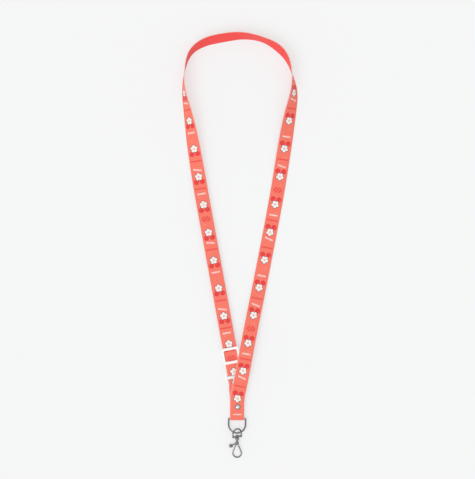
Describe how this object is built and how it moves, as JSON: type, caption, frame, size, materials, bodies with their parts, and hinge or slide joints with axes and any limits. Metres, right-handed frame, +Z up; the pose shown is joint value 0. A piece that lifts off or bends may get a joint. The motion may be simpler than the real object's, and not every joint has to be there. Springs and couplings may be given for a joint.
{
  "type": "lanyard",
  "caption": "Flat-lying neck lanyard: printed webbing loop, three-bar slider, strap ring, riveted joint, D-ring and a swivel trigger hook with a sprung gate.",
  "frame": {"origin": "under the middle of the whole lanyard's box, on the surface that it lies on", "axes": "+Y from the hook towards the neck, +X across the loop to its right leg, +Z up off the surface"},
  "size_m": [0.1212, 0.4424, 0.0152],
  "materials": {
    "webbing": "smooth satin polyester webbing, printed on one side",
    "thread": "polyester sewing thread",
    "white_plastic": "moulded, smooth",
    "bright_metal": "bright plated",
    "grey_metal": "dark nickel plated, polished",
    "spring_steel": "plain wire"
  },
  "bodies": {
    "strap": {"neck_strap": "webbing", "short_strap": "webbing", "strap_ring": "white_plastic", "rivet_cap": "bright_metal", "rivet_post": "bright_metal", "rivet_back": "bright_metal"},
    "slider_body": {"slider": "white_plastic", "sewn_end": "webbing", "tail_stitch": "thread"},
    "d_ring_body": {"d_ring": "grey_metal"},
    "bail_body": {"bail": "grey_metal"},
    "hook": {"swivel_pin": "grey_metal", "hook_body": "grey_metal", "gate_pin": "grey_metal"},
    "gate_body": {"gate": "grey_metal", "gate_spring": "spring_steel"}
  },
  "joints": [
    {"name": "slider_slide", "type": "slide", "parent": "strap", "child": "slider_body", "axis": [-0.1795, 0.9838, 0], "range_m": [0, 0.15]},
    {"name": "d_ring_swing", "type": "hinge", "parent": "strap", "child": "d_ring_body", "pos_m": [-0.0026, -0.1799, 0.00286], "axis": [1, 0, 0], "range_deg": [-115, 115]},
    {"name": "bail_swing", "type": "hinge", "parent": "d_ring_body", "child": "bail_body", "pos_m": [-0.0026, -0.19366, 0.00426], "axis": [1, 0, 0], "range_deg": [-70, 70]},
    {"name": "hook_swivel", "type": "hinge", "parent": "bail_body", "child": "hook", "pos_m": [-0.0026, -0.19872, 0.00362], "axis": [0, 0.9921, 0.1252], "continuous": true},
    {"name": "gate_hinge", "type": "hinge", "parent": "hook", "child": "gate_body", "pos_m": [-0.0026, -0.20556, 0.00276], "axis": [0, -0.1252, 0.9921], "range_deg": [0, 24], "stiffness_Nm_per_rad": 0.004, "springref_deg": -28.65}
  ]
}
